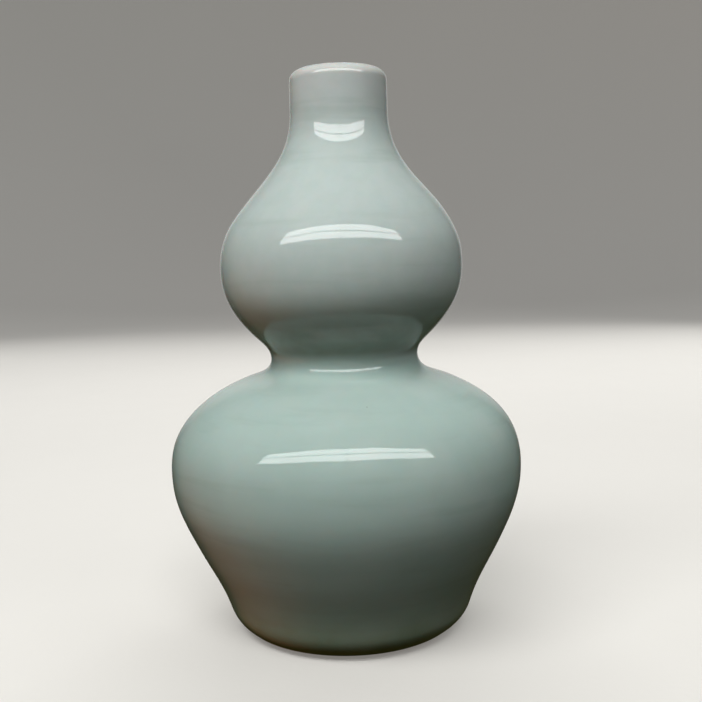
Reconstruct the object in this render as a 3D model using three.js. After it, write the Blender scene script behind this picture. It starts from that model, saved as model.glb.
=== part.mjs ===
// A porcelain vase in the shape of a double gourd, built as it is made: clay sections thrown one
// by one and luted together with slip, a foot ring luted underneath, and separate coats of glaze.
// Every piece is turned about the Z axis. Millimetres, +Z up; the origin is the centre of the
// circle that the foot ring stands on.

import * as THREE from "three";

// Driving dimensions

const WALL = 5.8; // clay and both coats of glaze together
const GLAZE = 0.6; // thickness of each coat
const HAIRLINE = 0.02; // left between a coat and the clay under it
const SLIP = 0.8; // thickness of the slip in a joint
const SEGMENTS = 32; // flats round the axis
const OUTER_STEPS = 3; // straight steps between neighbouring stations of the outside
const INNER_STEPS = 2; // and of the inside
const PULL = 0.38; // how far a station's direction carries, as a share of the way to the next one

// The glazed surface passes through these stations, from the foot up to the rim. lean is the
// direction of travel in degrees from straight up: positive leads away from the axis.
const FOOT = { r: 52.5, z: 1, lean: 90 };
const HEEL = { r: 67, z: 13.5, lean: 18 };
const TAPER = { r: 83.8, z: 49.7, lean: 25 };
const BELLY = { r: 95.1, z: 91.2, lean: 0 };
const SHOULDER = { r: 57.3, z: 135.5, lean: -67.8 };
const WAIST = { r: 39.9, z: 147.8, lean: 0 };
const UNDERSIDE = { r: 48.1, z: 160.1, lean: 45 };
const BULB = { r: 65.2, z: 196.6, lean: 0 };
const SLOPE = { r: 43.4, z: 239.5, lean: -41 };
const NECK = { r: 26.1, z: 277.9, lean: 0 };
const LIP = { r: 26, z: 294.3, lean: 0 };
const RIM = { r: 19.8, z: 300, lean: -90 };

// Stations of the inside that don't follow the outside at one wall's distance.
const MOUTH = { r: 17.9, z: 297.2, lean: -180 };
const FLOOR_EDGE = { r: 50, z: 16, lean: -90 };
const FLOOR_CENTRE = { r: 0, z: 15, lean: -90 };

// The foot ring, and the recess inside it.
const FOOT_JOINT_Z = 8; // height of the joint between the ring and the lower bowl
const STANDING_OUTER_R = 51.7;
const STANDING_INNER_R = 46.5;
const RECESS_R = 44.5;
const RECESS_BEVEL_Z = 2;

// Where one coat of glaze gives way to bare clay or to another coat.
const BARE_FOOT_Z = 2.4;
const LIP_GLAZE_OUTER_Z = 293.4;
const LIP_GLAZE_INNER_Z = 288;

// Materials

const finish = (color, roughness) => new THREE.MeshStandardMaterial({ color, roughness, metalness: 0 });
const CELADON = finish(0xb4cec5, 0.1);
const LIP_WHITE = finish(0xdfe5de, 0.1);
const CLEAR = finish(0xcddad3, 0.15);
const CLAY = finish(0xe9e5dc, 0.8);
const FOOT_CLAY = finish(0xd9c9b4, 0.85);
const DRY_SLIP = finish(0xf0ece2, 0.9);

// Outlines

function travel(station) {
  const angle = THREE.MathUtils.degToRad(station.lean);
  return new THREE.Vector2(Math.sin(angle), Math.cos(angle));
}

// The station moved squarely into the wall, away from the surface it lies on.
function sunk(station, depth) {
  const along = travel(station);
  return { r: station.r - depth * along.y, z: station.z + depth * along.x, lean: station.lean };
}

// The same place on the inner surface of the wall, where the outline runs the other way.
function opposite(station) {
  return { ...sunk(station, WALL), lean: station.lean - 180 };
}

const OUTSIDE = [FOOT, HEEL, TAPER, BELLY, SHOULDER, WAIST, UNDERSIDE, BULB, SLOPE, NECK, LIP, RIM];
const FOLLOWED = [NECK, SLOPE, BULB, UNDERSIDE, WAIST, SHOULDER, BELLY, TAPER];
const INSIDE = [RIM, MOUTH, ...FOLLOWED.map(opposite), FLOOR_EDGE, FLOOR_CENTRE];

// A smooth outline at a depth below the glazed surface, as points (r, z).
function outline(stations, depth, steps) {
  const path = new THREE.CurvePath();
  const places = stations.map((station) => sunk(station, depth));
  for (let i = 1; i < places.length; i++) {
    const start = new THREE.Vector2(places[i - 1].r, places[i - 1].z);
    const end = new THREE.Vector2(places[i].r, places[i].z);
    const pull = PULL * start.distanceTo(end);
    const leave = travel(places[i - 1]).multiplyScalar(pull).add(start);
    const arrive = travel(places[i]).multiplyScalar(-pull).add(end);
    path.add(new THREE.CubicBezierCurve(start, leave, arrive, end));
  }
  return path.getPoints(steps);
}

// The outline with a point added wherever it crosses one of the heights.
function marked(points, heights) {
  const result = [points[0]];
  for (let i = 1; i < points.length; i++) {
    const [from, to] = [points[i - 1], points[i]];
    const rising = to.y > from.y;
    const crossed = heights
      .filter((z) => (z - from.y) * (z - to.y) < 0)
      .sort((a, b) => (rising ? a - b : b - a));
    for (const z of crossed) {
      const share = (z - from.y) / (to.y - from.y);
      result.push(new THREE.Vector2(from.x + share * (to.x - from.x), z));
    }
    result.push(to);
  }
  return result;
}

const between = (points, low, high) => points.filter((point) => point.y >= low && point.y <= high);
const spot = (r, z) => new THREE.Vector2(r, z);

// Joints, at the heights where the sections meet. Each is a layer of slip from low to high.
const jointAt = (z) => ({ low: z - SLIP / 2, high: z + SLIP / 2 });
const FOOT_JOINT = jointAt(FOOT_JOINT_Z);
const LOWER_BELLY_JOINT = jointAt(BELLY.z);
const WAIST_JOINT = jointAt(WAIST.z);
const UPPER_BELLY_JOINT = jointAt(BULB.z);
const NECK_JOINT = jointAt(NECK.z);
const WALL_JOINTS = [LOWER_BELLY_JOINT, WAIST_JOINT, UPPER_BELLY_JOINT, NECK_JOINT];

const jointHeights = [FOOT_JOINT, ...WALL_JOINTS].flatMap((joint) => [joint.low, joint.high]);
const outerHeights = [BARE_FOOT_Z, ...jointHeights, LIP_GLAZE_OUTER_Z];
const innerHeights = [...jointHeights, LIP_GLAZE_INNER_Z];

const outsideAt = (depth) => marked(outline(OUTSIDE, depth, OUTER_STEPS), outerHeights);
const insideAt = (depth) => marked(outline(INSIDE, depth, INNER_STEPS), innerHeights);

const glazeOutside = outsideAt(0);
const glazeInside = insideAt(0);
const backOutside = outsideAt(GLAZE - HAIRLINE);
const backInside = insideAt(GLAZE - HAIRLINE);
const clayOutside = outsideAt(GLAZE);
const clayInside = insideAt(GLAZE);

// Pieces

const vase = new THREE.Group();

// A solid of revolution. The profile runs up the outside and down the inside, and closes on itself.
function turn(name, material, profile) {
  const geometry = new THREE.LatheGeometry([...profile, profile[0]], SEGMENTS);
  const mesh = new THREE.Mesh(geometry, material);
  mesh.name = name;
  mesh.rotation.x = Math.PI / 2;
  vase.add(mesh);
}

// The whole wall between two heights, outside and inside.
function wall(low, high) {
  return [...between(clayOutside, low, high), ...between(clayInside, low, high)];
}

function makeFoot() {
  turn("foot_ring", FOOT_CLAY, [
    spot(STANDING_OUTER_R, 0),
    ...between(clayOutside, FOOT.z, FOOT_JOINT.low),
    spot(RECESS_R, FOOT_JOINT.low),
    spot(RECESS_R, RECESS_BEVEL_Z),
    spot(STANDING_INNER_R, 0),
  ]);
  turn("foot_slip_joint", DRY_SLIP, [
    ...between(clayOutside, FOOT_JOINT.low, FOOT_JOINT.high),
    spot(RECESS_R, FOOT_JOINT.high),
    spot(RECESS_R, FOOT_JOINT.low),
  ]);
}

function makeSections() {
  turn("lower_bowl", CLAY, [
    spot(0, FOOT_JOINT.high),
    ...wall(FOOT_JOINT.high, LOWER_BELLY_JOINT.low),
  ]);
  turn("lower_shoulder", CLAY, wall(LOWER_BELLY_JOINT.high, WAIST_JOINT.low));
  turn("upper_bowl", CLAY, wall(WAIST_JOINT.high, UPPER_BELLY_JOINT.low));
  turn("upper_shoulder", CLAY, wall(UPPER_BELLY_JOINT.high, NECK_JOINT.low));
  turn("neck_tube", CLAY, wall(NECK_JOINT.high, RIM.z));
}

function makeWallJoints() {
  const names = ["lower_belly_slip_joint", "waist_slip_joint", "upper_belly_slip_joint", "neck_slip_joint"];
  WALL_JOINTS.forEach((joint, i) => turn(names[i], DRY_SLIP, wall(joint.low, joint.high)));
}

function makeGlazes() {
  turn("outer_glaze", CELADON, [
    ...between(glazeOutside, BARE_FOOT_Z, LIP_GLAZE_OUTER_Z),
    ...between(backOutside, BARE_FOOT_Z, LIP_GLAZE_OUTER_Z).reverse(),
  ]);
  turn("lip_glaze", LIP_WHITE, [
    ...between(glazeOutside, LIP_GLAZE_OUTER_Z, RIM.z),
    ...between(glazeInside, LIP_GLAZE_INNER_Z, RIM.z).slice(1),
    ...between(backInside, LIP_GLAZE_INNER_Z, RIM.z).reverse(),
    ...between(backOutside, LIP_GLAZE_OUTER_Z, RIM.z).reverse().slice(1),
  ]);
  turn("inner_glaze", CLEAR, [
    ...between(backInside, 0, LIP_GLAZE_INNER_Z).reverse(),
    ...between(glazeInside, 0, LIP_GLAZE_INNER_Z),
  ]);
  turn("base_glaze", CLEAR, [
    spot(0, FOOT_JOINT.high - GLAZE),
    spot(RECESS_R - GLAZE, FOOT_JOINT.high - GLAZE),
    spot(RECESS_R - GLAZE, RECESS_BEVEL_Z),
    spot(RECESS_R, RECESS_BEVEL_Z),
    spot(RECESS_R, FOOT_JOINT.high),
    spot(0, FOOT_JOINT.high),
  ]);
}

makeFoot();
makeSections();
makeWallJoints();
makeGlazes();

export default vase;
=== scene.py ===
"""A porcelain double-gourd vase in pale celadon glaze.

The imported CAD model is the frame. Each of its turned pieces is turned again here at full smoothness,
through the same stations, with small irregularities.
Lengths are metres unless a name ends in _MM.
"""

import math

import bpy
import numpy as np
from mathutils import Matrix, Vector


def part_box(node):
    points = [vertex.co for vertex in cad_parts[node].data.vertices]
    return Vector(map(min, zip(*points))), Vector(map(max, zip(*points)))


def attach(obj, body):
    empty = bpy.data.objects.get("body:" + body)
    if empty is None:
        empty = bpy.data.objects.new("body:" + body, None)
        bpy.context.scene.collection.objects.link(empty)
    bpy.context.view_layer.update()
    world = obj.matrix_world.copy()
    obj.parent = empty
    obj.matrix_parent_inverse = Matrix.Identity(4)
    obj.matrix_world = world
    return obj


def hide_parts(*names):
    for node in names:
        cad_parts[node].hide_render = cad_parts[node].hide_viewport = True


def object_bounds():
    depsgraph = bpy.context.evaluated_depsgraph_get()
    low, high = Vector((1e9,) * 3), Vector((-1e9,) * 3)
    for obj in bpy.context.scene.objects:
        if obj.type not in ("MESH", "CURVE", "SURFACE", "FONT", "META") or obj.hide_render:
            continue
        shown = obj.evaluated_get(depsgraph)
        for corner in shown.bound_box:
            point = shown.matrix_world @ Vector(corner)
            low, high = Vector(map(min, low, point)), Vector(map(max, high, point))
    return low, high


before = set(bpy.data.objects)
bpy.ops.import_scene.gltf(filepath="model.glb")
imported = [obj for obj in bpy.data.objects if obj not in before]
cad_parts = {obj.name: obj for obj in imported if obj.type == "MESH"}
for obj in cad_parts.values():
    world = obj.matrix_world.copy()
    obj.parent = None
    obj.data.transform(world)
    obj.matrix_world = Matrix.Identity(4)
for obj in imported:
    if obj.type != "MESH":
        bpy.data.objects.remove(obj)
cad_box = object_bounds()

MM = 0.001
HEIGHT = cad_box[1].z
scene = bpy.context.scene


# ---------------------------------------------------------------- camera

# The eye's place, the tilt, the roll and the lens were fitted, by another program, to the outline of
# the vase in the photograph.
EYE_DISTANCE = 1.68 * HEIGHT  # from the vase's axis
EYE_HEIGHT = 0.674 * HEIGHT
EYE_SIDESTEP = 0.0126 * HEIGHT  # to the right of the axis
LOOK_DOWN_DEG = 5.93
ROLL_DEG = -1.407
LENS_MM = 47.4
SENSOR_MM = 36.0


def make_camera():
    data = bpy.data.cameras.new("camera")
    data.lens = LENS_MM
    data.sensor_width = SENSOR_MM
    data.clip_start, data.clip_end = 0.01, 50.0
    camera = bpy.data.objects.new("camera", data)
    scene.collection.objects.link(camera)
    level = Matrix.Rotation(math.radians(90 - LOOK_DOWN_DEG), 4, "X")
    roll = Matrix.Rotation(math.radians(ROLL_DEG), 4, "Z")
    place = Matrix.Translation((EYE_SIDESTEP, -EYE_DISTANCE, EYE_HEIGHT))
    camera.matrix_world = place @ level @ roll
    scene.camera = camera


make_camera()


# ---------------------------------------------------------------- levels and walls, read from the frame


def radius_at(node, height, inner=False):
    """Radius of a CAD node's outer or inner wall, at a height where its mesh has corners."""
    at = np.array([v.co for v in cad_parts[node].data.vertices])
    radii = np.hypot(at[:, 0], at[:, 1])[np.abs(at[:, 2] - height) < 0.01 * MM]
    return float(radii.min() if inner else radii.max())


def levels(node):
    low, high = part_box(node)
    return low.z, high.z


def middle(node):
    return sum(levels(node)) / 2


BELLY_Z = middle("lower_belly_slip_joint")
WAIST_Z = middle("waist_slip_joint")
BULB_Z = middle("upper_belly_slip_joint")
NECK_Z = middle("neck_slip_joint")
BARE_FOOT_Z, LIP_LINE_Z = levels("outer_glaze")
INNER_LIP_LINE_Z, RIM_Z = levels("lip_glaze")
BEVEL_Z, CEILING_Z = levels("base_glaze")
RECESS_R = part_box("base_glaze")[1].x
STANDING_OUTER_R = radius_at("foot_ring", 0)
STANDING_INNER_R = radius_at("foot_ring", 0, inner=True)

GLAZE = radius_at("outer_glaze", BELLY_Z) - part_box("lower_belly_slip_joint")[1].x
WALL = radius_at("outer_glaze", BELLY_Z) - radius_at("inner_glaze", BELLY_Z, inner=True)
HAIRLINE = 0.02 * MM  # between a coat and the clay under it


# ---------------------------------------------------------------- outlines, as arrays of (radius, height)

PULL = 0.38  # how far a station's direction carries, as a share of the way to the next one
FINE_STEP = 1.3 * MM  # between points of a surface that is seen
COARSE_STEP = 4 * MM  # and of one that another piece hides
FIRST_STEP = 0.25 * MM  # and of an outline before it is cut to its pieces
SOFTENING = 1.2 * MM  # length over which bends are evened out
CURVE_STEPS = 200  # between two stations
CORNER_STEPS = 6  # round a corner
BEAD_STEPS = 7  # round the edge of a coat
ON_AXIS = 0.001 * MM


def station(height, lean, node="outer_glaze"):
    """A point of the outline and its direction of travel, in degrees from straight up."""
    return radius_at(node, height), height, lean


def travel(lean):
    angle = math.radians(lean)
    return np.array((math.sin(angle), math.cos(angle)))


def sunk(place, depth):
    """The station moved squarely into the wall."""
    r, z, lean = place
    along = travel(lean)
    return r - depth * along[1], z + depth * along[0], lean


def opposite(place):
    """The same place on the inner surface of the wall, where the outline runs down."""
    r, z, lean = sunk(place, WALL)
    return r, z, lean - 180


FOOT_Z = 1 * MM
MOUTH_Z = 297.2 * MM
FOOT = (radius_at("foot_ring", FOOT_Z + GLAZE), FOOT_Z, 90)
HEEL = station(13.5 * MM, 18)
TAPER = station(49.7 * MM, 25)
BELLY = station(BELLY_Z, 0)
SHOULDER = station(135.5 * MM, -67.8)
WAIST = station(WAIST_Z, 0)
UNDERSIDE = station(160.1 * MM, 45)
BULB = station(BULB_Z, 0)
SLOPE = station(239.5 * MM, -41)
NECK = station(NECK_Z, 0)
LIP = station(294.3 * MM, 0, "lip_glaze")
RIM = station(RIM_Z, -90, "lip_glaze")
MOUTH = (radius_at("lip_glaze", MOUTH_Z, inner=True), MOUTH_Z, -180)
FLOOR_EDGE = station(16 * MM, -90, "inner_glaze")
FLOOR_CENTRE = (0.0, 15 * MM, -90)

OUTSIDE = [FOOT, HEEL, TAPER, BELLY, SHOULDER, WAIST, UNDERSIDE, BULB, SLOPE, NECK, LIP, RIM]
FOLLOWED = [NECK, SLOPE, BULB, UNDERSIDE, WAIST, SHOULDER, BELLY, TAPER]
INSIDE = [RIM, MOUTH, *map(opposite, FOLLOWED), FLOOR_EDGE, FLOOR_CENTRE]


def spaced(points, step):
    """Points along a line at equal steps."""
    along = np.concatenate([[0], np.cumsum(np.hypot(*np.diff(points, axis=0).T))])
    at = np.linspace(0, along[-1], max(2, int(round(along[-1] / step)) + 1))
    return np.column_stack([np.interp(at, along, points[:, i]) for i in (0, 1)])


def evened(points):
    """The line with its bends evened out and its ends kept."""
    reach = int(round(2.5 * SOFTENING / FIRST_STEP))
    weights = np.exp(-0.5 * (np.arange(-reach, reach + 1) * FIRST_STEP / SOFTENING) ** 2)
    before = 2 * points[0] - points[reach:0:-1]
    after = 2 * points[-1] - points[-2 : -reach - 2 : -1]
    longer = np.vstack([before, points, after])
    return np.column_stack([np.convolve(longer[:, i], weights / weights.sum(), "valid") for i in (0, 1)])


def outline(stations, depth):
    """A smooth line through the stations, at a depth below the glazed surface."""
    places = [sunk(place, depth) for place in stations]
    share = np.linspace(0, 1, CURVE_STEPS)[:, None]
    spans = []
    for (r0, z0, lean0), (r1, z1, lean1) in zip(places, places[1:]):
        start, end = np.array((r0, z0)), np.array((r1, z1))
        pull = PULL * np.hypot(*(end - start))
        leave, arrive = start + pull * travel(lean0), end - pull * travel(lean1)
        first_half = (1 - share) ** 3 * start + 3 * (1 - share) ** 2 * share * leave
        spans.append(first_half + 3 * (1 - share) * share**2 * arrive + share**3 * end)
    return evened(spaced(np.vstack(spans), FIRST_STEP))


def stretch(line, low, high, step):
    """The part of a line between two heights, in the direction that the line runs."""
    falling = line[-1, 1] < line[0, 1]
    rising = line[::-1] if falling else line
    low, high = max(low, rising[0, 1]), min(high, rising[-1, 1])
    inside = rising[(rising[:, 1] > low) & (rising[:, 1] < high)]
    ends = [(np.interp(z, rising[:, 1], rising[:, 0]), z) for z in (low, high)]
    part = spaced(np.vstack([ends[:1], inside, ends[1:]]), step)
    return part[::-1] if falling else part


def rounded(points, reach):
    """The line with its corners rounded, from reach before each one to reach after it. Its ends stay."""
    points = np.array(points)
    share = np.linspace(0, 1, CORNER_STEPS)[:, None]
    result = [points[:1]]
    for before, corner, after in zip(points, points[1:], points[2:]):
        arms = [side - corner for side in (before, after)]
        start, end = [corner + arm * min(0.45, reach / np.hypot(*arm)) for arm in arms]
        result.append((1 - share) ** 2 * start + 2 * (1 - share) * share * corner + share**2 * end)
    return np.vstack([*result, points[-1:]])


def bead(start, end):
    """The half round edge of a coat, from start to end, to the right of the way between them."""
    centre, arm = (start + end) / 2, (start - end) / 2
    square = np.array((arm[1], -arm[0]))
    turns = np.linspace(0, math.pi, BEAD_STEPS)[1:-1]
    return [centre + arm * math.cos(turn) - square * math.sin(turn) for turn in turns]


glaze_outside, glaze_inside = outline(OUTSIDE, 0), outline(INSIDE, 0)
back_outside, back_inside = outline(OUTSIDE, GLAZE - HAIRLINE), outline(INSIDE, GLAZE - HAIRLINE)
clay_outside, clay_inside = outline(OUTSIDE, GLAZE), outline(INSIDE, GLAZE)


# ---------------------------------------------------------------- irregularities of the wall

# Swells of the wall: lobes round the axis, starting angle, turns from foot to rim, and size.
SWELLS = [
    (2, 0.6, 0.35, 0.16 * MM),
    (1, 2.1, 1.6, 0.10 * MM),
    (3, 4.0, 0.8, 0.05 * MM),
    (5, 1.2, 2.2, 0.018 * MM),
    (0, 0.4, 4.6, 0.05 * MM),
]
RING_SPACING = 5.6 * MM  # climb of the throwing spiral in one turn
RING_SIZE = 0.007 * MM
STEADY_R = 20 * MM  # the wall is truer inside this radius
STEADY_Z = 10 * MM  # and below this height

# By height: how far the wall stands to the right of a true turned shape, and how much fuller it is.
# The rows bring the outline closer to the one in the photograph. They don't follow the joints.
UNEVENNESS = [
    (0, 0, 0),
    (12 * MM, 0.4 * MM, 0),
    (45 * MM, 0.1 * MM, 0),
    (78 * MM, -0.3 * MM, 0.35 * MM),
    (100 * MM, -0.35 * MM, 0.05 * MM),
    (125 * MM, 0.45 * MM, 0.05 * MM),
    (138 * MM, 0.5 * MM, 0.05 * MM),
    (160 * MM, -0.75 * MM, 0.15 * MM),
    (BULB_Z, -0.35 * MM, 0.1 * MM),
    (215 * MM, 0, 0.35 * MM),
    (231 * MM, 0.65 * MM, 0.35 * MM),
    (250 * MM, 0.35 * MM, 0.15 * MM),
    (RIM_Z, 0.25 * MM, 0.2 * MM),
]


def unevenness_at(z):
    """The wall's offset and fullness, turning smoothly from one row of the table to the next."""
    heights, *columns = np.array(UNEVENNESS).T
    row = np.clip(np.searchsorted(heights, z, side="right") - 1, 0, len(heights) - 2)
    share = np.clip((z - heights[row]) / (heights[row + 1] - heights[row]), 0, 1)
    eased = share * share * (3 - 2 * share)
    return [column[row] + eased * (column[row + 1] - column[row]) for column in columns]


def thrown(at):
    """The points of a true solid of revolution, moved by the swells, the rings and the unevenness."""
    x, y, z = at.T
    r, angle = np.hypot(x, y), np.arctan2(y, x)
    swell = sum(
        size * np.cos(lobes * angle + start + 2 * math.pi * turns * z / HEIGHT)
        for lobes, start, turns, size in SWELLS
    )
    rings = RING_SIZE * np.cos(2 * math.pi * z / RING_SPACING - angle)
    steady = np.clip(r / STEADY_R, 0, 1) * np.clip(z / STEADY_Z, 0, 1)
    offset, fullness = unevenness_at(z)
    grown = 1 + steady * (swell + rings + fullness) / np.maximum(r, MM)
    return np.column_stack([x * grown + offset, y * grown, z])


# ---------------------------------------------------------------- turning

SEGMENTS = 160
SHARP_DEG = 50


def ringed_mesh(name, profile, segments, closed, shape):
    """Rings of corners round the Z axis, one for each point of the profile, joined by faces.
    shape is a function that moves the corners to their final places."""
    around = 2 * math.pi * np.arange(segments) / segments
    rows, points, count = [], [], 0
    for r, z in profile:
        if r < ON_AXIS:
            rows.append(np.full(segments, count))
            points.append([(0, 0, z)])
            count += 1
        else:
            rows.append(count + np.arange(segments))
            points.append(np.column_stack([r * np.cos(around), r * np.sin(around), np.full(segments, z)]))
            count += segments
    if closed:
        rows.append(rows[0])
    faces = []
    for lower, upper in zip(rows, rows[1:]):
        ring = np.column_stack([lower, np.roll(lower, -1), np.roll(upper, -1), upper])
        faces += [list(dict.fromkeys(face)) for face in ring.tolist()]
    mesh = bpy.data.meshes.new(name)
    mesh.from_pydata(shape(np.vstack(points)).tolist(), [], faces)
    mesh.shade_smooth()
    mesh.set_sharp_from_angle(angle=math.radians(SHARP_DEG))
    return mesh


def turn(name, node, slot, material, profile):
    """A turned piece that stands for a CAD node. Its profile runs up the outside and down the inside."""
    closed = profile[0][0] > ON_AXIS
    mesh = ringed_mesh(name, profile, SEGMENTS, closed, thrown)
    mesh.materials.append(material)
    piece = bpy.data.objects.new(name, mesh)
    scene.collection.objects.link(piece)
    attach(piece, "root")
    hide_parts(node)


def wall(node):
    """The clay between a CAD node's levels, up the outside and down the inside."""
    low, high = levels(node)
    outside = stretch(clay_outside, low, high, COARSE_STEP)
    return np.vstack([outside, stretch(clay_inside, low, high, COARSE_STEP)])


# ---------------------------------------------------------------- materials


def rgb(red, green, blue):
    """A colour given as it looks on screen, 0 to 255, as a shader socket takes it."""
    shares = [c / 255 for c in (red, green, blue)]
    return (*[((c + 0.055) / 1.055) ** 2.4 for c in shares], 1.0)


class Paint:
    """A node material with one Principled shader, built up by short calls."""

    def __init__(self, name, **sockets):
        self.material = bpy.data.materials.new(name)
        self.material.use_nodes = True
        self.tree = self.material.node_tree
        self.shader = self.tree.nodes["Principled BSDF"]
        for socket, value in sockets.items():
            self.shader.inputs[socket.replace("_", " ")].default_value = value
        self.where = self.tree.nodes.new("ShaderNodeTexCoord").outputs["Object"]

    def feed(self, socket, value):
        if isinstance(value, bpy.types.NodeSocket):
            self.tree.links.new(value, socket)
        else:
            socket.default_value = value

    def node(self, kind, inputs, **settings):
        made = self.tree.nodes.new("ShaderNode" + kind)
        for key, value in settings.items():
            setattr(made, key, value)
        for key, value in inputs.items():
            self.feed(made.inputs[key], value)
        return made

    def placed(self, **inputs):
        return self.node("Mapping", {"Vector": self.where, **inputs}).outputs[0]

    def noise(self, size, detail=2.0, stretch=(1, 1, 1)):
        """Noise from 0 to 1 with features of about the size given."""
        inputs = {"Vector": self.placed(Scale=stretch), "Scale": 1 / size, "Detail": detail}
        return self.node("TexNoise", inputs).outputs["Fac"]

    def span(self, value, low, high, to_low=0.0, to_high=1.0):
        """value, taken smoothly from between low and high to between to_low and to_high."""
        inputs = {"Value": value, "From Min": low, "From Max": high, "To Min": to_low, "To Max": to_high}
        return self.node("MapRange", inputs, interpolation_type="SMOOTHSTEP").outputs["Result"]

    def math(self, operation, first, second=0.0):
        return self.node("Math", {0: first, 1: second}, operation=operation).outputs[0]

    def band(self, value, start, top, top_end, end):
        """1 from top to top_end, falling smoothly to 0 at start and end."""
        return self.math("MULTIPLY", self.span(value, start, top), self.span(value, end, top_end))

    def height(self):
        return self.node("SeparateXYZ", {"Vector": self.where}).outputs["Z"]

    def mix(self, share, first, second):
        mixed = self.tree.nodes.new("ShaderNodeMix")
        mixed.data_type = "RGBA"
        for socket, value in zip((0, 6, 7), (share, first, second)):
            self.feed(mixed.inputs[socket], value)
        return mixed.outputs[2]

    def tinted(self, base, share, strength, colour):
        """base, taken towards a colour by strength where share is 1."""
        return self.mix(self.math("MULTIPLY", share, strength), base, colour)

    def specks(self, spacing, size, crowd, shift):
        """1 inside scattered round specks of the size given, 0 outside. One cell holds one speck at
        most, crowd is the share of cells that do, and shift tells one pattern from another."""
        at = self.placed(Location=(shift, 0.7 * shift, 0.3 * shift))
        cells = self.node("TexVoronoi", {"Vector": at, "Scale": 1 / spacing})
        draw = self.node("SeparateColor", {"Color": cells.outputs["Color"]}).outputs[0]
        chosen = self.math("LESS_THAN", draw, crowd)
        inside = self.span(cells.outputs["Distance"], size / spacing, 0.5 * size / spacing)
        return self.math("MULTIPLY", chosen, inside)

    def finish(self, colour, roughness, *bumps):
        """Feeds the shader. Each bump is a value from 0 to 1 and its depth."""
        self.feed(self.shader.inputs["Base Color"], colour)
        self.feed(self.shader.inputs["Roughness"], roughness)
        normal = None
        for value, depth in bumps:
            inputs = {"Height": value, "Distance": depth, "Strength": 1.0}
            if normal:
                inputs["Normal"] = normal
            normal = self.node("Bump", inputs).outputs["Normal"]
        self.feed(self.shader.inputs["Normal"], normal)
        return self.material


# Sockets that are the same all over a surface.
GLASSY = {"IOR": 1.5, "Subsurface_Weight": 0.12, "Subsurface_Scale": 1.5 * MM}
CHALKY = {"Specular_IOR_Level": 0.25}

IRON_SPECK = rgb(112, 94, 70)
DRAWN_LEVEL = (0.12, 0.12, 1)  # scale of a noise that lies in streaks round the vase
DRAWN_DOWN = (1, 1, 0.22)  # and of one that runs down it
PEEL_SIZE, PEEL_DEPTH = 1.4 * MM, 0.0012 * MM  # the fine unevenness of every coat

CELADON_LOW = rgb(165, 185, 178)  # on the lower bulb
CELADON_HIGH = rgb(181, 193, 189)  # on the upper bulb
CELADON_CHANGE = (WAIST_Z + 10 * MM, BULB_Z + 10 * MM)

# Where the celadon has another colour: the heights, as span or band takes them, then how strongly it
# is tinted there, and the colour. The two dark zones are as dark as the vase looks there: painted
# shade under the upper bulb, and above the foot partly pooled glaze, partly painted shade. Both stay
# dark in any light.
THIN_LIP = (NECK_Z - 20 * MM, LIP_LINE_Z), 0.6, rgb(193, 195, 194)
FOOT_POOL_AND_PAINTED_SHADE = (45 * MM, BARE_FOOT_Z), 0.82, rgb(116, 128, 92)
UNDER_BULB_SHADE_Z = (WAIST_Z, WAIST_Z + 6 * MM, WAIST_Z + 14 * MM, BULB_Z - 10 * MM)
PAINTED_SHADE_UNDER_BULB = UNDER_BULB_SHADE_Z, 0.82, rgb(113, 117, 103)
COVE = (WAIST_Z - 13 * MM, WAIST_Z - 6 * MM, WAIST_Z - 4 * MM, WAIST_Z + 3 * MM), 0.3, rgb(145, 173, 164)


def celadon():
    """Whiter at the lip, greener in the cove below the waist, painted shade under the bulb, and darker at
    the foot, partly pooled glaze and partly painted shade.
    """
    p = Paint("celadon_glaze", **GLASSY)
    z = p.height()
    wandering = p.math("ADD", z, p.math("MULTIPLY", p.noise(60 * MM, 3.0), 60 * MM))
    tint = p.mix(p.span(wandering, *CELADON_CHANGE), CELADON_LOW, CELADON_HIGH)
    # The lip whitened, and the foot darkened: partly pooled glaze, partly painted shade.
    for heights, strength, colour in (THIN_LIP, FOOT_POOL_AND_PAINTED_SHADE):
        tint = p.tinted(tint, p.span(z, *heights), strength, colour)
    # Painted shade under the upper bulb, and the cove made greener.
    for heights, strength, colour in (PAINTED_SHADE_UNDER_BULB, COVE):
        tint = p.tinted(tint, p.band(z, *heights), strength, colour)
    mottle, clouds = p.noise(9 * MM, 3.0), p.noise(38 * MM, 2.0)
    streaks = p.noise(7 * MM, 3.0, DRAWN_LEVEL)
    tint = p.tinted(tint, p.span(mottle, 0.35, 0.65), 0.12, rgb(150, 174, 166))
    tint = p.tinted(tint, p.span(clouds, 0.45, 0.7), 0.14, rgb(196, 204, 198))
    tint = p.tinted(tint, p.span(streaks, 0.52, 0.72), 0.16, rgb(132, 150, 140))
    pinholes = p.specks(27 * MM, 0.6 * MM, crowd=0.16, shift=0.83)
    tint = p.tinted(tint, p.specks(20 * MM, 0.45 * MM, crowd=0.2, shift=0.31), 0.65, IRON_SPECK)
    tint = p.tinted(tint, pinholes, 0.7, rgb(238, 242, 238))
    gloss = p.span(p.noise(14 * MM, 3.0), 0.35, 0.65, to_low=0.035, to_high=0.075)
    flow, runs, peel = p.noise(11 * MM), p.noise(16 * MM, 2.0, DRAWN_DOWN), p.noise(PEEL_SIZE, 1.0)
    bumps = (flow, 0.03 * MM), (runs, 0.02 * MM), (peel, PEEL_DEPTH), (pinholes, 0.04 * MM)
    return p.finish(tint, gloss, *bumps)


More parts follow.
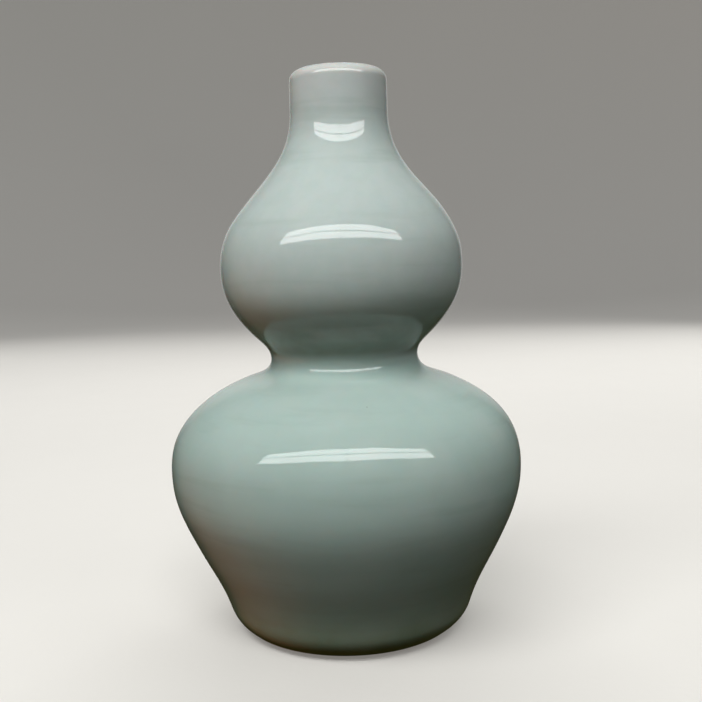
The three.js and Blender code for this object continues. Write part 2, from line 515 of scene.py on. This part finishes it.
def lip_white():
    """Nearly white over the lip, where the glaze has run off it, and as the neck below."""
    p = Paint("lip_glaze", **GLASSY)
    wandering = p.math("ADD", p.height(), p.math("MULTIPLY", p.noise(9 * MM), 0.6 * MM))
    run_off = p.span(wandering, LIP_LINE_Z + 1.7 * MM, LIP_LINE_Z + 2.3 * MM)
    tint = p.mix(run_off, rgb(188, 193, 190), rgb(197, 200, 196))
    tint = p.tinted(tint, p.span(p.noise(7 * MM, 3.0), 0.4, 0.7), 0.3, rgb(190, 188, 178))
    gloss = p.span(p.noise(6 * MM), 0.3, 0.7, to_low=0.06, to_high=0.12)
    return p.finish(tint, gloss, (p.noise(8 * MM), 0.02 * MM), (p.noise(PEEL_SIZE, 1.0), PEEL_DEPTH))


def clear_glaze():
    """Faintly green, in level rings as far apart as the throwing spiral's."""
    p = Paint("clear_glaze", **GLASSY)
    tint = p.mix(p.span(p.noise(30 * MM, 3.0), 0.3, 0.7), rgb(222, 226, 221), rgb(208, 218, 211))
    rings = p.math("SINE", p.math("MULTIPLY", p.height(), 2 * math.pi / RING_SPACING))
    tint = p.tinted(tint, p.span(rings, -1, 1), 0.1, rgb(196, 206, 199))
    tint = p.tinted(tint, p.specks(12 * MM, 0.3 * MM, crowd=0.2, shift=0.57), 0.7, rgb(120, 98, 70))
    gloss = p.span(p.noise(10 * MM), 0.3, 0.7, to_low=0.08, to_high=0.18)
    return p.finish(tint, gloss, (p.noise(9 * MM), 0.05 * MM), (p.noise(1.6 * MM, 1.0), 0.003 * MM))


def biscuit_foot():
    """Bare porcelain, flushed orange at the edge of the glaze, with kiln grit."""
    p = Paint("foot_biscuit", **CHALKY)
    ragged = p.math("ADD", p.height(), p.math("MULTIPLY", p.noise(6 * MM), 1.6 * MM))
    flush = p.span(ragged, 1.2 * MM, BARE_FOOT_Z + 1.2 * MM)
    tint = p.mix(p.span(p.noise(8 * MM, 4.0), 0.3, 0.7), rgb(226, 214, 192), rgb(214, 198, 172))
    tint = p.tinted(tint, flush, 0.75, rgb(190, 132, 84))
    tint = p.tinted(tint, p.specks(2.6 * MM, 0.25 * MM, crowd=0.3, shift=0.2), 0.7, rgb(104, 84, 62))
    dull = p.span(p.noise(1.5 * MM, 3.0), 0.2, 0.8, to_low=0.7, to_high=0.92)
    grit = p.specks(2.2 * MM, 0.3 * MM, crowd=0.35, shift=0.9)
    return p.finish(tint, dull, (p.noise(0.5 * MM, 3.0), 0.05 * MM), (grit, 0.12 * MM))


def bare_clay(name, light, dark):
    """Matt fired clay, clouded between two colours."""
    p = Paint(name, **CHALKY)
    tint = p.mix(p.span(p.noise(7 * MM, 4.0), 0.3, 0.7), light, dark)
    dull = p.span(p.noise(1.2 * MM, 3.0), 0.2, 0.8, to_low=0.75, to_high=0.95)
    return p.finish(tint, dull, (p.noise(0.6 * MM, 3.0), 0.04 * MM))


CELADON = celadon()
LIP_WHITE = lip_white()
CLEAR = clear_glaze()
FOOT_CLAY = biscuit_foot()
CLAY = bare_clay("porcelain_body", rgb(238, 234, 224), rgb(228, 222, 209))
SLIP = bare_clay("luting_slip", rgb(242, 238, 229), rgb(234, 228, 216))


# ---------------------------------------------------------------- the vase

FOOT_ROUNDING = 0.7 * MM
RECESS_FILLET = 2.5 * MM


def make_sections():
    for node in ("lower_shoulder", "upper_bowl", "upper_shoulder", "neck_tube"):
        turn("thrown_" + node, node, "porcelain_body", CLAY, wall(node))
    bowl = np.vstack([(0, levels("lower_bowl")[0]), wall("lower_bowl")])
    turn("thrown_lower_bowl", "lower_bowl", "porcelain_body", CLAY, bowl)


def make_slip_joints():
    for place in ("lower_belly", "waist", "upper_belly", "neck"):
        node = place + "_slip_joint"
        turn("luted_" + node, node, "luting_slip", SLIP, wall(node))
    low, high = levels("foot_slip_joint")
    outside = stretch(clay_outside, low, high, COARSE_STEP)
    ring = np.vstack([outside, (RECESS_R, high), (RECESS_R, low)])
    turn("luted_foot_slip_joint", "foot_slip_joint", "luting_slip", SLIP, ring)


def make_foot_ring():
    top = levels("foot_ring")[1]
    outside = stretch(clay_outside, 0, top, FINE_STEP)
    start = ((RECESS_R + STANDING_OUTER_R) / 2, top)
    inside = [(RECESS_R, top), (RECESS_R, BEVEL_Z), (STANDING_INNER_R, 0), (STANDING_OUTER_R, 0)]
    ring = rounded([start, *inside, *outside], FOOT_ROUNDING)
    turn("turned_foot_ring", "foot_ring", "foot_biscuit", FOOT_CLAY, ring)


def make_outer_glaze():
    low = BARE_FOOT_Z + GLAZE / 2
    front = stretch(glaze_outside, low, LIP_LINE_Z, FINE_STEP)
    back = stretch(back_outside, low, LIP_LINE_Z, COARSE_STEP)[::-1]
    profile = np.vstack([front, back, bead(back[-1], front[0])])
    turn("coat_outer_glaze", "outer_glaze", "celadon_glaze", CELADON, profile)


def make_lip_glaze():
    up = stretch(glaze_outside, LIP_LINE_Z, RIM_Z, FINE_STEP / 3)
    down = stretch(glaze_inside, INNER_LIP_LINE_Z, RIM_Z, FINE_STEP / 3)[1:]
    back_up = stretch(back_inside, INNER_LIP_LINE_Z, RIM_Z, FINE_STEP)[::-1]
    back_down = stretch(back_outside, LIP_LINE_Z, RIM_Z, FINE_STEP)[::-1][1:]
    profile = np.vstack([up, down, back_up, back_down])
    turn("coat_lip_glaze", "lip_glaze", "lip_glaze", LIP_WHITE, profile)


def make_inner_glaze():
    back = stretch(back_inside, 0, INNER_LIP_LINE_Z, COARSE_STEP)[::-1]
    front = stretch(glaze_inside, 0, INNER_LIP_LINE_Z, 1.5 * FINE_STEP)
    turn("coat_inner_glaze", "inner_glaze", "clear_glaze", CLEAR, np.vstack([back, front]))


def make_base_glaze():
    inner_r, ceiling = RECESS_R - GLAZE, CEILING_Z - GLAZE
    skirt = [(inner_r, ceiling), (inner_r, BEVEL_Z), (RECESS_R, BEVEL_Z), (RECESS_R, CEILING_Z)]
    recess = rounded([(0, ceiling), *skirt, (0, CEILING_Z)], RECESS_FILLET)
    turn("coat_base_glaze", "base_glaze", "clear_glaze", CLEAR, spaced(recess, FINE_STEP / 2))


make_sections()
make_slip_joints()
make_foot_ring()
make_outer_glaze()
make_lip_glaze()
make_inner_glaze()
make_base_glaze()


# ---------------------------------------------------------------- floor and light

FLOOR_R, BEND_R, WALL_TOP_Z = 2.2, 1.4, 2.8
FLOOR_Z = -0.1 * MM  # just clear of the foot
FLOOR_RINGS = (1.0, 0.3, 0)  # radii of the corners on the flat
FLOOR_SEGMENTS = 96
BEND_STEPS = 16
FLOOR_GLOW = {"Emission_Color": (0.95, 0.93, 0.88, 1), "Emission_Strength": 0.2}


def make_floor():
    """A pale floor that rises into a wall all round, far from the vase. The vase neither mirrors it
    nor takes light from it: the world stands for what is under and round the vase."""
    bend = np.linspace(math.pi / 2, 0, BEND_STEPS)
    rise = [(FLOOR_R + BEND_R * math.sin(a), FLOOR_Z + BEND_R * (1 - math.cos(a))) for a in bend]
    flat = [(radius, FLOOR_Z) for radius in FLOOR_RINGS]
    profile = [(FLOOR_R + BEND_R, WALL_TOP_Z), *rise, *flat]
    mesh = ringed_mesh("floor", profile, FLOOR_SEGMENTS, closed=False, shape=np.asarray)
    p = Paint("pale_floor", **FLOOR_GLOW, **CHALKY)
    tint = p.mix(p.noise(0.5, 3.0), rgb(192, 190, 185), rgb(186, 184, 179))
    dull = p.span(p.noise(50 * MM), 0, 1, to_low=0.75, to_high=0.9)
    mesh.materials.append(p.finish(tint, dull, (p.noise(4 * MM), 0.1 * MM)))
    floor = bpy.data.objects.new("floor", mesh)
    floor.visible_diffuse = False
    floor.visible_glossy = False
    scene.collection.objects.link(floor)


# Soft lights that face the waist and show in no reflection: name, centre, width and height, radiance.
SOFTBOXES = [
    ("main", (-0.34, -0.93, 1.42), (1.7, 0.6), 10.2),
    ("right", (1.2, -0.6, 1.3), (1.0, 1.0), 1.4),
    ("back_right", (1.2, 1.3, 0.9), (1.2, 1.2), 2.6),
    ("back_left", (-1.2, 1.3, 0.9), (1.2, 1.2), 1.2),
    ("back_high", (0, 1.4, 1.3), (1.6, 0.8), 4.5),
]

# The highlights mirror two long bright strips over the camera, one above the other. They light
# nothing else, and are straight from each of these places to the next.
STRIP_Y = -0.807
STRIP_PLACES = [(-1.46, 0.24), (-0.8, 0.08), (0, 0), (0.8, 0.08), (1.46, 0.24)]  # x, rise over the middle
STRIP_ROWS = [(0.738, 1.004), (1.048, 1.314)]  # lower and upper edge in the middle
STRIP_RADIANCE = 7.0


def make_area_light(name, centre, aim, size, radiance):
    """A rectangular light of even radiance that faces a point. Its width lies level."""
    data = bpy.data.lights.new(name, "AREA")
    data.shape = "RECTANGLE"
    data.size, data.size_y = size
    data.energy = radiance * math.pi * size[0] * size[1]
    light = bpy.data.objects.new(name, data)
    light.location = centre
    light.rotation_euler = (Vector(aim) - Vector(centre)).to_track_quat("-Z", "Y").to_euler()
    light.visible_camera = False
    scene.collection.objects.link(light)
    return light


def make_softboxes():
    for name, centre, size, radiance in SOFTBOXES:
        light = make_area_light(name, centre, (0, 0, WAIST_Z), size, radiance)
        light.visible_glossy = False


def make_strips():
    for row, (low, high) in enumerate(STRIP_ROWS):
        for part, ((x0, rise0), (x1, rise1)) in enumerate(zip(STRIP_PLACES, STRIP_PLACES[1:])):
            centre = ((x0 + x1) / 2, STRIP_Y, (low + high + rise0 + rise1) / 2)
            size = (math.hypot(x1 - x0, rise1 - rise0), high - low)
            ahead = (centre[0], 0, centre[2])
            light = make_area_light(f"strip_{row}_{part}", centre, ahead, size, STRIP_RADIANCE)
            light.rotation_euler.rotate_axis("Z", math.atan2(rise1 - rise0, x1 - x0))
            light.visible_diffuse = False


# The world's light, laid on in this order: its radiance, the direction it comes from, and the cosines
# of the angles from that direction at which it starts and is full.
FROM_BELOW = (0.024, 0.022, 0.005, 1)
FROM_ABOVE = (0.012, 0.012, 0.012, 1), (0, 0, 1), (-0.3, 0.3)
WARM_LOW_LEFT = (0.35, 0.15, 0.06, 1), (-0.85, 0.1, -0.5), (0.7, 1)
BRIGHT_BEHIND = (0.5, 0.5, 0.48, 1), (0, 1, 0.18), (0.86, 0.96)


def make_world():
    """Dim light from all round, olive from below, warm from low on the left, and bright from behind,
    which the vase mirrors as a thin bright line along its edges."""
    world = bpy.data.worlds.new("studio")
    world.use_nodes = True
    nodes, links = world.node_tree.nodes, world.node_tree.links
    where = nodes.new("ShaderNodeTexCoord").outputs["Generated"]
    under = None
    for radiance, direction, (start, full) in (FROM_ABOVE, WARM_LOW_LEFT, BRIGHT_BEHIND):
        along = nodes.new("ShaderNodeVectorMath")
        along.operation = "DOT_PRODUCT"
        along.inputs[1].default_value = Vector(direction).normalized()
        links.new(where, along.inputs[0])
        share = nodes.new("ShaderNodeMapRange")
        share.inputs["From Min"].default_value = start
        share.inputs["From Max"].default_value = full
        links.new(along.outputs["Value"], share.inputs["Value"])
        mix = nodes.new("ShaderNodeMix")
        mix.data_type = "RGBA"
        mix.inputs[6].default_value = FROM_BELOW
        mix.inputs[7].default_value = radiance
        links.new(share.outputs["Result"], mix.inputs[0])
        if under:
            links.new(under, mix.inputs[6])
        under = mix.outputs[2]
    links.new(under, nodes["Background"].inputs["Color"])
    scene.world = world


make_floor()
make_softboxes()
make_strips()
make_world()
scene.view_settings.view_transform = "Standard"
